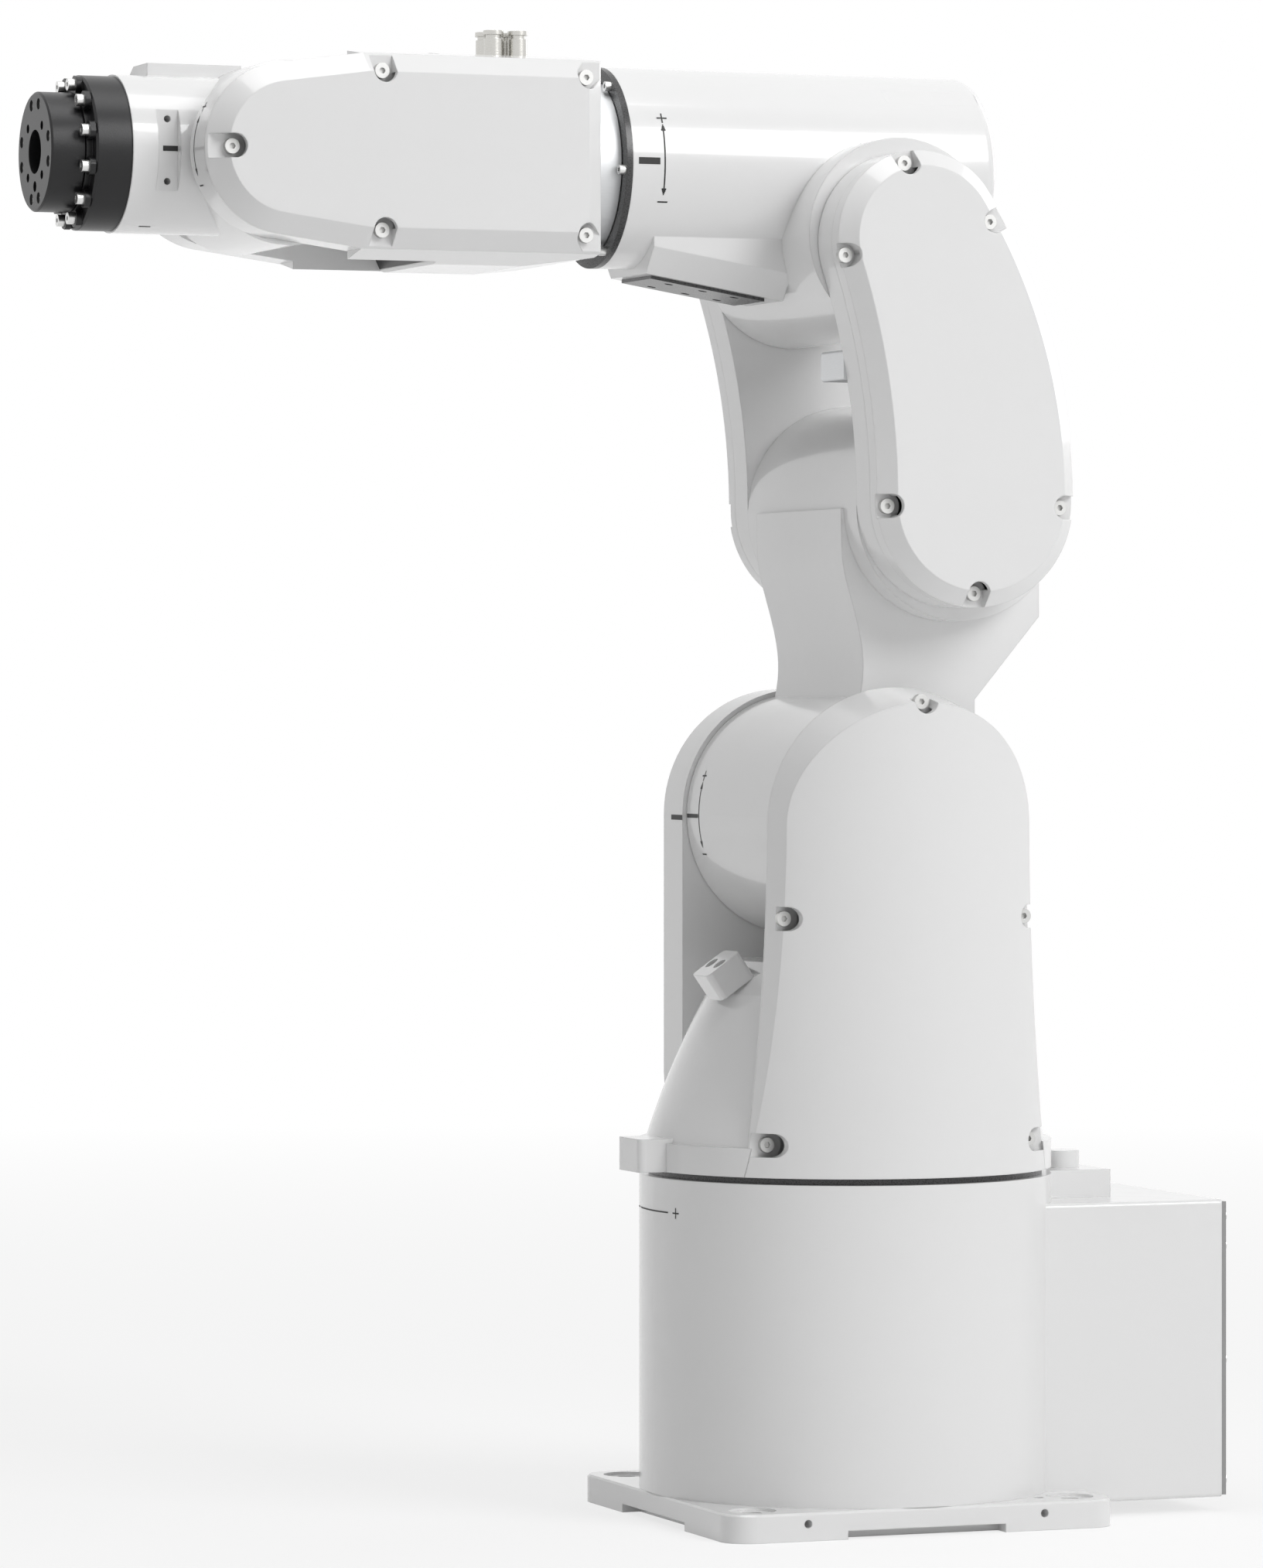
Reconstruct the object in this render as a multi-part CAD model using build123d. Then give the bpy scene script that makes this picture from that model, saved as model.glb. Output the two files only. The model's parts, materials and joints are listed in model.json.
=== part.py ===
from build123d import *
import os
from math import sin, cos, tan, radians, sqrt, hypot

# Six-axis articulated arm, millimetres. The origin is the centre of the foot on the floor, +Z is up,
# +X is the way the arm reaches and +Y is the side of the left covers. The model stands at its zero pose.

# Axes of the six joints
shoulder_z = 330.0
upper_arm_length = 270.0
elbow_offset = 33.0
forearm_length = 290.0
wrist_to_flange = 108.0
elbow_z = shoulder_z + upper_arm_length
roll_z = elbow_z + elbow_offset
wrist_x = forearm_length
flange_x = wrist_x + wrist_to_flange

# Clearances
run_gap = 0.3
seat_gap = 0.1
cheek_gap = 0.5

# Base
foot_size = 195.0
foot_corner_r = 13.0
foot_t = 13.2
foot_edge = 1.0
bolt_pitch = 160.0
bolt_hole_d = 9.0
bolt_spot_d = 22.0
bolt_spot_depth = 1.2
dowel_d = 5.0
dowel_inset = 16.0
relief_h = 4.0
relief_side_w = 79.0
relief_front_w = 80.0
relief_depth = 9.0
side_tap_d = 3.8
side_tap_pitch = 118.6
side_tap_z = 8.0
side_tap_depth = 8.0
barrel_r = 97.5
barrel_wall = 8.0
barrel_top = 161.5
deck_t = 13.0
floor_t = 6.0
box_half_y = 60.0
box_rear_x = -168.5
box_bottom_z = 7.0
box_top_z = 148.0
box_wall = 4.0
box_edge_r = 2.0
pad_x0 = -128.0
pad_x1 = -88.0
pad_half_y = 22.0
pad_h = 13.0
stop_post_r = 8.0
stop_post_x = -113.0
stop_post_h = 7.7
panel_t = 2.7
panel_inset = 1.0
panel_screw_d = 5.5
panel_screw_h = 1.5
panel_screw_inset = 5.0
j1_reducer_r = 62.0
j1_reducer_h = 26.0
j1_motor_r = 36.0
j1_motor_len = 90.0
seal_r = 93.0
seal_w = 6.0

# Turret
turret_gap = 3.0
turret_z = barrel_top + turret_gap
rim_h = 13.5
hub_r = 50.0
hub_h = 10.0
dome_top_z = 262.0
dome_mid_z = 203.5
dome_mid_r = 85.4
dome_high_z = 247.0
dome_high_r = 65.3
dome_low_z = 178.0
dome_low_r = 94.4
shoulder_gap_half = 57.5
far_cheek_t = 24.5
far_cheek_r = 60.0
near_flange_t = 2.5
near_boss_r = 56.0
near_boss_t = 13.0
lug_x = 110.0
lug_half_y = 14.0
lug_h = 15.5
cover_wall = 4.0
shell_draft = 10.5
shell_arc_r = 64.2
shell_arc_z = 326.5
shell_foot_half = 76.2
shell_edge_r = 2.0
far_cover_r = 56.0
far_cover_z0 = 190.0

# Shoulder drum, neck and motor drum of the upper arm
drum_r = 58.0
drum_bore_r = 46.0
drum_end_wall = 9.0
neck_half_y = 52.0
neck_front_r = 20.0
neck_rear_r = 10.0
motor_drum_x = -30.0
motor_drum_z = 474.0
motor_drum_r = 52.5
motor_bore_r = 44.0
elbow_gap_half = 67.0
arm_cheek_t = 16.0
pear_top_r = 41.3
pear_low_x = -27.0
pear_low_z = 477.0
pear_low_r = 49.5
arm_cover_h = 15.5
arm_cover_bevel = 7.4

# Elbow and forearm
elbow_drum_r = 46.0
elbow_drum_half = 66.6
tube_r = 46.9
tube_rear_x = -58.7
tube_front_x = 128.6
tube_rear_edge = 6.0
ring_t = 3.0
ring_inner_r = 41.0
chin_x0 = 41.0
chin_x1 = 110.0
chin_z0 = 571.5
chin_z1 = 583.0
chin_half_y = 22.6
chin_side_half_y = 33.0
chin_crease_h = 12.0
chin_plate_t = 1.5
rotor_r = 40.7
forearm_rear_x = 147.0
forearm_half_y = 59.0
forearm_half_h = 44.2
forearm_nose_r = 38.8
forearm_nose_x = 298.0
forearm_shoulder_x = 262.0
forearm_crown = 4.0
forearm_belly = 4.6
fork_half_y = 39.0
throat_r = 45.0
throat_angle = 115.0
throat_clear = 44.0
fore_cover_h = 11.0
fore_cover_bevel = 9.0

# Wrist and flange
wrist_hub_r = 42.0
wrist_hub_half = 38.6
nose_r = 36.0
nose_front_x = 362.4
j6_motor_x = 318.0
j6_motor_r = 24.0
j6_body_r = 35.2
j6_body_x1 = 379.3
lobe_ring_x1 = 382.0
flange_r = 27.2
flange_bore_r = 10.0
flange_pcd = 31.5
flange_tap_d = 4.2
flange_screw_pcd = 44.0
flange_disc_t = 16.0

# Screws: head diameter, head height and socket size of the two kinds
cover_screw = (7.0, 3.0, 2.5)
ring_screw = (5.5, 3.2, 2.0)
pocket_w = 11.0


def slab(sketch, y0, y1):
    return extrude(Plane.XZ.offset(-y0) * sketch, amount=-(y1 - y0))


def disc_x(x0, x1, r, z, y=0.0):
    return Pos((x0 + x1) / 2, y, z) * Rot(0, 90, 0) * Cylinder(r, x1 - x0)


def disc_y(x, z, r, y0, y1):
    return Pos(x, (y0 + y1) / 2, z) * Rot(90, 0, 0) * Cylinder(r, y1 - y0)


def disc_z(x, y, r, z0, z1):
    return Pos(x, y, (z0 + z1) / 2) * Cylinder(r, z1 - z0)


def block(x0, x1, y0, y1, z0, z1):
    return Pos((x0 + x1) / 2, (y0 + y1) / 2, (z0 + z1) / 2) * Box(x1 - x0, y1 - y0, z1 - z0)


def flip(shape):
    return mirror(shape, about=Plane.XZ)


def screw(kind):
    """Socket head screw that sits on z = 0 with its socket upward."""
    head_d, head_h, socket = kind
    head = Cylinder(head_d / 2, head_h, align=(Align.CENTER, Align.CENTER, Align.MIN))
    hexagon = RegularPolygon(socket / 2, 6, major_radius=False)
    return head - extrude(Pos(0, 0, head_h * 0.45) * hexagon, amount=head_h)


def group(parts):
    return Compound(children=[Part(p.wrapped) if hasattr(p, "wrapped") else p for p in parts])


def edge_pocket(x, z, angle, floor_y, out_y, width=pocket_w):
    """U-shaped pocket that runs from a screw to the outer edge of a cover."""
    away = Pos(20, 0) * Rectangle(40, width)
    shape = Pos(x, z) * Rot(0, 0, angle) * (Circle(width / 2) + away)
    return slab(shape, floor_y, out_y)


def screw_y(x, y, z, kind):
    return Pos(x, y, z) * Rot(-90, 0, 0) * screw(kind)


def pear(inset=0.0):
    """Outline of the upper-arm cheeks: two rounds joined by a hollow front and a full rear edge."""
    top = (0.5, elbow_z - 3.0)
    r_top = pear_top_r - inset
    r_low = pear_low_r - inset
    rise = top[1] - pear_low_z
    front_x = pear_low_x + r_low
    rear_x = pear_low_x - r_low
    ahead = front_x - top[0]
    front_r = (ahead ** 2 + rise ** 2 - r_top ** 2) / (2 * (r_top - ahead))
    behind = top[0] - rear_x
    rear_r = (behind ** 2 + rise ** 2 - r_top ** 2) / (2 * (behind - r_top))
    front_c = (front_x + front_r, pear_low_z)
    rear_c = (rear_x + rear_r, pear_low_z)
    d = hypot(front_c[0] - top[0], front_c[1] - top[1])
    front_up = (top[0] + (front_c[0] - top[0]) * r_top / d, top[1] + (front_c[1] - top[1]) * r_top / d)
    d = hypot(top[0] - rear_c[0], top[1] - rear_c[1])
    rear_up = (top[0] + (top[0] - rear_c[0]) * r_top / d, top[1] + (top[1] - rear_c[1]) * r_top / d)

    def middle(centre, radius, p, q):
        mx = (p[0] + q[0]) / 2 - centre[0]
        mz = (p[1] + q[1]) / 2 - centre[1]
        k = radius / hypot(mx, mz)
        return (centre[0] + mx * k, centre[1] + mz * k)

    low_front = (front_x, pear_low_z)
    low_rear = (rear_x, pear_low_z)
    edges = [
        ThreePointArc(low_front, (pear_low_x, pear_low_z - r_low), low_rear),
        ThreePointArc(low_rear, middle(rear_c, rear_r, low_rear, rear_up), rear_up),
        ThreePointArc(rear_up, (top[0] + r_top * 0.2, top[1] + r_top * sqrt(1 - 0.04)), front_up),
        ThreePointArc(front_up, middle(front_c, front_r, front_up, low_front), low_front),
    ]
    return make_face(edges)


def shell_outline(inset=0.0, low=140.0):
    """Outline of the turret cover: round on top, with feet that spread."""
    r = shell_arc_r - inset
    spread = shell_foot_half - shell_arc_r
    drop = shell_arc_z - turret_z

    def half(z):
        return r + spread * ((shell_arc_z - z) / drop) ** 2

    mid = (shell_arc_z + low) / 2
    edges = [
        ThreePointArc((r, shell_arc_z), (0, shell_arc_z + r), (-r, shell_arc_z)),
        ThreePointArc((-r, shell_arc_z), (-half(mid), mid), (-half(low), low)),
        Line((-half(low), low), (half(low), low)),
        ThreePointArc((half(low), low), (half(mid), mid), (r, shell_arc_z)),
    ]
    return make_face(edges)


def nose_outline(inset=0.0):
    """Outline of the forearm fork and its covers: square behind, rounded in front."""
    h = forearm_half_h - inset
    rear = forearm_rear_x + inset
    body = Pos((rear + forearm_shoulder_x) / 2, roll_z) * Rectangle(forearm_shoulder_x - rear, 2 * h)
    nose = Pos(forearm_nose_x, roll_z) * Circle(forearm_nose_r - inset)
    return make_hull(body.edges() + nose.edges())


# Base
def foot():
    plate = RectangleRounded(foot_size, foot_size, foot_corner_r)
    body = extrude(plate, amount=foot_t)
    body = chamfer(body.faces().sort_by(Axis.Z)[-1].edges(), foot_edge)
    body -= block(-relief_side_w / 2, relief_side_w / 2, foot_size / 2 - relief_depth, foot_size, -1, relief_h)
    body -= block(-relief_side_w / 2, relief_side_w / 2, -foot_size, relief_depth - foot_size / 2, -1, relief_h)
    body -= block(foot_size / 2 - relief_depth, foot_size, -relief_front_w / 2, relief_front_w / 2, -1, relief_h)
    p = bolt_pitch / 2
    for sx in (-1, 1):
        for sy in (-1, 1):
            body -= disc_z(sx * p, sy * p, bolt_hole_d / 2, -1, foot_t + 1)
            body -= disc_z(sx * p, sy * p, bolt_spot_d / 2, foot_t - bolt_spot_depth, foot_t + 1)
    for sx, sy in ((1, -1), (-1, 1)):
        body -= disc_z(sx * (p - dowel_inset), sy * p, dowel_d / 2, -1, foot_t + 1)
    for sx in (-1, 1):
        x = sx * side_tap_pitch / 2
        y1 = foot_size / 2
        body -= disc_y(x, side_tap_z, side_tap_d / 2, y1 - side_tap_depth, y1 + 1)
        body -= disc_y(x, side_tap_z, side_tap_d / 2, -y1 - 1, side_tap_depth - y1)
    return body


def base_casting():
    body = foot() + disc_z(0, 0, barrel_r, foot_t, barrel_top)
    box = block(box_rear_x, 0, -box_half_y, box_half_y, box_bottom_z, box_top_z)
    box = fillet(box.edges().filter_by(Axis.X), box_edge_r)
    body += box
    body += block(pad_x0, pad_x1, -pad_half_y, pad_half_y, box_top_z - 1, box_top_z + pad_h)
    top = barrel_top + stop_post_h
    body += disc_z(stop_post_x, 0, stop_post_r, box_top_z + pad_h - 1, top)
    body -= disc_z(0, 0, barrel_r - barrel_wall, floor_t, barrel_top - deck_t)
    body -= disc_z(0, 0, j1_reducer_r, barrel_top - deck_t - 1, barrel_top + 1)
    body -= block(box_rear_x - 1, -60, -box_half_y + box_wall, box_half_y - box_wall,
                  foot_t + 2, box_top_z - box_wall)
    return body


def base_rear_panel():
    w = box_half_y - panel_inset
    panel = block(box_rear_x - panel_t, box_rear_x, -w, w, box_bottom_z + panel_inset, box_top_z - panel_inset)
    for x, z, r in rear_ports():
        panel -= disc_x(box_rear_x - panel_t - 1, box_rear_x + 1, r, z, x)
    return panel


def rear_ports():
    """Ports of the rear panel: place across, height and radius."""
    return [(-22.0, 104.0, 13.0), (-22.0, 58.0, 9.0), (-44.0, 84.0, 5.0), (-44.0, 66.0, 5.0)]


def rear_panel_screws():
    x = box_rear_x - panel_t
    y = box_half_y - panel_inset - panel_screw_inset
    parts = []
    for sy in (-1, 1):
        for z in (140.0, 126.0, 72.0, 15.0):
            head = Pos(x, sy * y, z) * Rot(0, -90, 0) * screw((panel_screw_d, panel_screw_h, 2.0))
            parts.append(head)
    return group(parts)


def port_plug(port, out, flange_r, flange_t):
    """Round receptacle seated in a port of the panel, with a flange outside it."""
    y, z, r = port
    x = box_rear_x - panel_t
    body = disc_x(x - out, box_rear_x + 8, r - seat_gap, z, y)
    body += disc_x(x - flange_t, x, flange_r, z, y)
    body -= disc_x(x - out - 1, x + 2, r - 2.5, z, y)
    for k in range(-1, 2):
        body += disc_x(x - out + 3, x + 3, 0.9, z + 3.2 * k, y)
    return body


def air_inlet_couplings():
    parts = []
    for y, z, r in rear_ports()[2:]:
        x = box_rear_x - panel_t
        body = disc_x(x - 14, box_rear_x + 6, r - seat_gap, z, y)
        hexagon = extrude(RegularPolygon(r + 1.2, 6, major_radius=False), amount=4)
        body += Pos(x, y, z) * Rot(0, -90, 0) * hexagon
        body -= disc_x(x - 15, x - 2, r - 2.0, z, y)
        parts.append(body)
    return group(parts)


def base_seal_ring():
    ring = disc_z(0, 0, seal_r, barrel_top, turret_z - run_gap)
    return ring - disc_z(0, 0, seal_r - seal_w, barrel_top - 1, turret_z)


def j1_reducer():
    body = disc_z(0, 0, j1_reducer_r - seat_gap, barrel_top - j1_reducer_h, barrel_top)
    return body


def j1_motor():
    top = barrel_top - j1_reducer_h
    body = disc_z(0, 0, j1_motor_r, top - j1_motor_len, top)
    body += block(j1_motor_r - 8, j1_motor_r + 10, -12, 12, top - 40, top - 20)
    return body


# Turret
def shell_blank(low=turret_z):
    """Solid form of the left turret cover, drafted from its base plane out to the barrel's radius."""
    reach = barrel_r - (shoulder_gap_half + near_flange_t) + 4
    base = Plane.XZ.offset(-(shoulder_gap_half + near_flange_t)) * shell_outline(0.0)
    lean = reach * tan(radians(shell_draft))
    far = Plane.XZ.offset(-(shoulder_gap_half + near_flange_t + reach)) * shell_outline(lean)
    form = loft([base, far], ruled=True)
    return form & disc_z(0, 0, barrel_r, low, shoulder_z + 100)


def shell_screws():
    """Screws of the left turret cover: x, z, floor of the pocket, direction of its open side."""
    return [(0.0, 384.0, 88.0, 90.0), (60.5, 284.0, 68.5, 0.0), (-60.5, 284.0, 68.5, 180.0),
            (66.0, 179.5, 61.5, 0.0), (-66.0, 179.5, 61.5, 180.0)]


def turret_left_cover():
    body = shell_blank()
    y0 = shoulder_gap_half + near_flange_t
    reach = barrel_r - y0 + 4
    lean = reach * tan(radians(shell_draft))
    inner = loft([Plane.XZ.offset(-y0) * shell_outline(cover_wall),
                  Plane.XZ.offset(-(y0 + reach)) * shell_outline(cover_wall + lean)], ruled=True)
    inner = inner & disc_z(0, 0, barrel_r - cover_wall, turret_z + cover_wall, shoulder_z + 100)
    shell = body - inner
    for x, z, floor, angle in shell_screws():
        boss = disc_y(x, z, pocket_w / 2 + 2.5, y0, floor) & body
        shell += boss
        shell -= edge_pocket(x, z, angle, floor, barrel_r + 5)
    return shell


def far_cover_blank():
    y0 = shoulder_gap_half + far_cheek_t
    shape = Pos(0, shoulder_z) * Circle(far_cover_r)
    shape += Pos(0, (shoulder_z + far_cover_z0) / 2) * Rectangle(2 * far_cover_r, shoulder_z - far_cover_z0)
    body = flip(slab(shape, y0, barrel_r + 2))
    return body & disc_z(0, 0, barrel_r, 100, shoulder_z + 100)


def far_cover_screws():
    return [(0.0, 378.0, 84.5, 90.0), (40.0, 300.0, 84.5, 0.0), (-40.0, 300.0, 84.5, 180.0),
            (40.0, 205.0, 84.5, 0.0), (-40.0, 205.0, 84.5, 180.0)]


def turret_right_cover():
    body = far_cover_blank()
    for x, z, floor, angle in far_cover_screws():
        body -= flip(edge_pocket(x, z, angle, floor, barrel_r + 5))
    return body


def turret_cover_screws():
    parts = [screw_y(x, floor, z, cover_screw) for x, z, floor, angle in shell_screws()]
    for x, z, floor, angle in far_cover_screws():
        parts.append(flip(screw_y(x, floor, z, cover_screw)))
    return group(parts)


def dome():
    arc = ThreePointArc((dome_low_r, dome_low_z), (dome_mid_r, dome_mid_z), (dome_high_r, dome_high_z))
    lead = Line((barrel_r, turret_z), (dome_low_r, dome_low_z))
    tail = Line((dome_high_r, dome_high_z), (dome_high_r - 13, dome_top_z))
    flat = Line((dome_high_r - 13, dome_top_z), (0, dome_top_z))
    axis = Line((0, dome_top_z), (0, turret_z))
    foot_line = Line((0, turret_z), (barrel_r, turret_z))
    face = make_face([lead, arc, tail, flat, axis, foot_line])
    return revolve(Plane.XZ * face, axis=Axis.Z)


def far_cheek():
    shape = Pos(0, shoulder_z) * Circle(far_cheek_r)
    shape += Pos(0, (shoulder_z + dome_low_z) / 2) * Rectangle(2 * far_cheek_r, shoulder_z - dome_low_z)
    cheek = flip(slab(shape, shoulder_gap_half, shoulder_gap_half + far_cheek_t))
    skirt = Pos(0, 0, dome_low_z) * Cone(barrel_r, barrel_r + 6, 40, align=(Align.CENTER, Align.CENTER, Align.MIN))
    skirt += disc_z(0, 0, barrel_r + 6, dome_low_z + 40, shoulder_z + 100)
    return cheek & skirt


def stop_seat():
    """Place of the shoulder stop block on the front of the dome."""
    return Pos(62.0, 10.0, 250.0) * Rot(0, 35, 0)


def turret_casting():
    body = dome() + disc_z(0, 0, barrel_r, turret_z, turret_z + rim_h)
    lug = block(barrel_r - 12, lug_x, -lug_half_y, lug_half_y, turret_z, turret_z + lug_h)
    body += fillet(lug.edges().filter_by(Axis.Z), 3)
    body += far_cheek()
    flange = slab(shell_outline(0.7), shoulder_gap_half, shoulder_gap_half + near_flange_t)
    body += flange & block(-120, 120, 0, 120, turret_z + cover_wall, 500)
    y1 = shoulder_gap_half + near_flange_t
    body += disc_y(0, shoulder_z, near_boss_r, y1, y1 + near_boss_t)
    body -= shell_blank()
    body += disc_y(0, shoulder_z, near_boss_r, y1, y1 + near_boss_t)
    body -= far_cover_blank()
    body -= disc_z(0, 0, hub_r, turret_z - 1, turret_z + hub_h)
    body -= disc_y(0, shoulder_z, drum_bore_r - 2, shoulder_gap_half - 1, 120)
    body -= disc_y(0, shoulder_z, 25.0, -shoulder_gap_half - 14, -shoulder_gap_half + 1)
    body -= stop_seat() * Pos(0, 0, 10) * Box(24, 24, 20)
    body -= turret_left_cover()
    return body


def shoulder_stop_block():
    body = Box(20, 20, 14, align=(Align.CENTER, Align.CENTER, Align.MIN))
    body = fillet(body.edges().filter_by(Axis.Z), 3)
    for y in (-5, 5):
        body -= Pos(0, y, 9) * Cylinder(3.3, 12)
    return stop_seat() * body


def shoulder_stop_screws():
    parts = [stop_seat() * Pos(0, y, 3.0) * screw((6.0, 3.5, 2.5)) for y in (-5, 5)]
    return group(parts)


def j1_output_flange():
    return disc_z(0, 0, hub_r - seat_gap, barrel_top + run_gap, turret_z + hub_h)


def j2_reducer():
    y1 = shoulder_gap_half + near_flange_t + near_boss_t
    body = disc_y(0, shoulder_z, drum_bore_r - 2 - seat_gap, 40, y1)
    return body


def j2_motor():
    return disc_y(0, shoulder_z, 32.0, -30, 40)


def j2_bearing():
    return disc_y(0, shoulder_z, 25.0 - seat_gap, -shoulder_gap_half - 14, -shoulder_gap_half + 7)


# Upper arm
def neck():
    low = shoulder_z + 20
    front = Spline([(30, low), (13, 405), (21, 439), (24, motor_drum_z)],
                   tangents=[(-0.5, 1), (0, 1)])
    top = Line((24, motor_drum_z), (-77, motor_drum_z))
    rear = Polyline([(-77, motor_drum_z), (-77, 424), (-44, 385), (-44, low)])
    base = Line((-44, low), (30, low))
    shape = make_face([front, top, *rear.edges(), base])
    body = slab(shape, -neck_half_y, neck_half_y)
    return body


def upper_arm_cheek():
    return slab(pear(), elbow_gap_half, elbow_gap_half + arm_cheek_t)


def upper_arm_casting():
    body = disc_y(0, shoulder_z, drum_r, -57, 57) + neck()
    body += disc_y(motor_drum_x, motor_drum_z, motor_drum_r, -elbow_gap_half, elbow_gap_half)
    body += upper_arm_cheek() + flip(upper_arm_cheek())
    body -= disc_y(0, shoulder_z, drum_bore_r, -57 + drum_end_wall, 58)
    body -= disc_y(0, shoulder_z, 25.0 + run_gap - seat_gap, -58, -57 + drum_end_wall + 1)
    y1 = elbow_gap_half + arm_cheek_t
    body -= disc_y(motor_drum_x, motor_drum_z, motor_bore_r, -58, y1 + 1)
    body -= disc_y(0, elbow_z, 32.0, elbow_gap_half - 1, y1 + 1)
    body -= flip(disc_y(0, elbow_z, 22.0, elbow_gap_half - 1, y1 + 1))
    return body


def elbow_stop_block():
    body = block(10, 29, 40, elbow_gap_half, 533, 547)
    body = fillet(body.edges().filter_by(Axis.Y), 1.5)
    return body


def j2_output_flange():
    return disc_y(0, shoulder_z, drum_bore_r - seat_gap, 34, 40 - run_gap) - disc_y(0, shoulder_z, 34.0, 30, 45)


def j3_motor():
    y1 = elbow_gap_half + arm_cheek_t
    return disc_y(motor_drum_x, motor_drum_z, motor_bore_r - seat_gap, y1 - 12, y1) + \
        disc_y(motor_drum_x, motor_drum_z, 34.0, -40, y1 - 12)


def j3_reducer():
    return disc_y(0, elbow_z, 32.0 - seat_gap, 46, elbow_gap_half + arm_cheek_t)


def j3_bearing():
    return flip(disc_y(0, elbow_z, 22.0 - seat_gap, 54, elbow_gap_half + arm_cheek_t))


def arm_screws():
    """Screws of an upper-arm cover: x, z and the direction of the pocket's open side."""
    return [(38.5, 589.0, 0.0), (9.0, 632.0, 80.0), (-34.0, 606.0, 160.0),
            (17.5, 474.0, 0.0), (-69.5, 474.0, 180.0), (-26.0, 434.0, 270.0)]


def upper_arm_cover():
    y0 = elbow_gap_half + arm_cheek_t
    y1 = y0 + arm_cover_h
    body = slab(pear(), y0, y1)
    rim = body.faces().sort_by(Axis.Y)[-1].outer_wire().edges()
    body = chamfer(rim, arm_cover_bevel)
    body -= slab(pear(8.0), y0, y1 - 3.0)
    for x, z, angle in arm_screws():
        body += disc_y(x, z, pocket_w / 2 + 1.5, y0, y0 + 6) & slab(pear(), y0, y1)
        body -= edge_pocket(x, z, angle, y0 + 6, y1 + 5)
    return body


def upper_arm_cover_screws():
    y = elbow_gap_half + arm_cheek_t + 6
    parts = []
    for x, z, angle in arm_screws():
        head = screw_y(x, y, z, cover_screw)
        parts += [head, flip(head)]
    return group(parts)


# Elbow
def chin_section(x, z):
    pts = [(-chin_half_y, z), (chin_half_y, z), (chin_side_half_y, z + chin_crease_h),
           (chin_side_half_y, roll_z - 28), (-chin_side_half_y, roll_z - 28), (-chin_side_half_y, z + chin_crease_h)]
    plane = Plane(origin=(x, 0, 0), x_dir=(0, 1, 0), z_dir=(1, 0, 0))
    return plane * make_face(Polyline(pts, close=True).edges())


def elbow_housing():
    tube = disc_x(tube_rear_x, tube_front_x - ring_t, tube_r, roll_z)
    rear = tube.faces().sort_by(Axis.X)[0].edges()
    tube = fillet(rear, tube_rear_edge)
    drum = disc_y(0, elbow_z, elbow_drum_r, -elbow_drum_half, elbow_drum_half)
    chin = loft([chin_section(chin_x0, chin_z0), chin_section(chin_x1, chin_z1)], ruled=True)
    body = tube + drum + chin
    flat = Pos(-30.5, 0, roll_z) * Rot(-41, 0, 0) * Pos(0, 0, tube_r * cos(radians(7)) + 10) * Box(47, 40, 20)
    body -= flat
    body -= disc_x(60, tube_front_x, 38.0, roll_z)
    body -= disc_x(tube_rear_x - 1, tube_rear_x + 3, 36.0, roll_z)
    body -= disc_y(0, elbow_z, 32.0 + run_gap - seat_gap, 36, elbow_drum_half + 1)
    body -= flip(disc_y(0, elbow_z, 22.0 + run_gap - seat_gap, 52, elbow_drum_half + 1))
    return body


def elbow_rear_cap():
    return disc_x(tube_rear_x + 1, tube_rear_x + 3, 36.0 - seat_gap, roll_z)


def chin_plate():
    def section(x, z):
        pts = [(-19, z - chin_plate_t), (19, z - chin_plate_t), (19, z), (-19, z)]
        plane = Plane(origin=(x, 0, 0), x_dir=(0, 1, 0), z_dir=(1, 0, 0))
        return plane * make_face(Polyline(pts, close=True).edges())
    slope = (chin_z1 - chin_z0) / (chin_x1 - chin_x0)
    a = chin_x0 + 8
    b = chin_x1 - 4
    body = loft([section(a, chin_z0 + 8 * slope), section(b, chin_z1 - 4 * slope)], ruled=True)
    for x in (a + 12, a + 28, b - 12):
        for y in (-11, 11):
            body -= disc_z(x, y, 2.1, chin_z0 - 10, chin_z1 + 5)
    return body


def j3_output_flange():
    return disc_y(0, elbow_z, 32.0 + run_gap - 2 * seat_gap, 36, 46 - run_gap)


def j4_ring():
    ring = disc_x(tube_front_x - ring_t, tube_front_x, tube_r, roll_z)
    return ring - disc_x(tube_front_x - ring_t - 1, tube_front_x + 1, ring_inner_r, roll_z)


def j4_ring_screws():
    parts = []
    for a in (55, 115, 175, 235, 295, 355):
        y = 44.0 * cos(radians(a))
        z = roll_z + 44.0 * sin(radians(a))
        parts.append(Pos(tube_front_x, y, z) * Rot(0, 90, 0) * screw((4.5, 3.0, 2.0)))
    return group(parts)


def j4_reducer():
    return disc_x(90, tube_front_x - ring_t, 38.0 - seat_gap, roll_z) + \
        disc_x(tube_front_x - ring_t, tube_front_x, 36.0, roll_z)


def j4_motor():
    return disc_x(60, 90, 30.0, roll_z)


# Forearm
def throat():
    """Room that the wrist swings in: a round about its axis and two planes at the ends of its travel."""
    a = radians(throat_angle)
    n = (sin(a), -cos(a))
    edge_x = -throat_clear / n[0]
    far_z = 70.0
    far_x = -(throat_clear + n[1] * far_z) / n[0]
    pts = [(wrist_x + edge_x, roll_z), (wrist_x + far_x, roll_z + far_z), (wrist_x + 90, roll_z + far_z),
           (wrist_x + 90, roll_z - far_z), (wrist_x + far_x, roll_z - far_z)]
    shape = make_face(Polyline(pts, close=True).edges())
    shape += Pos(wrist_x, roll_z) * Circle(throat_r)
    return shape


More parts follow.
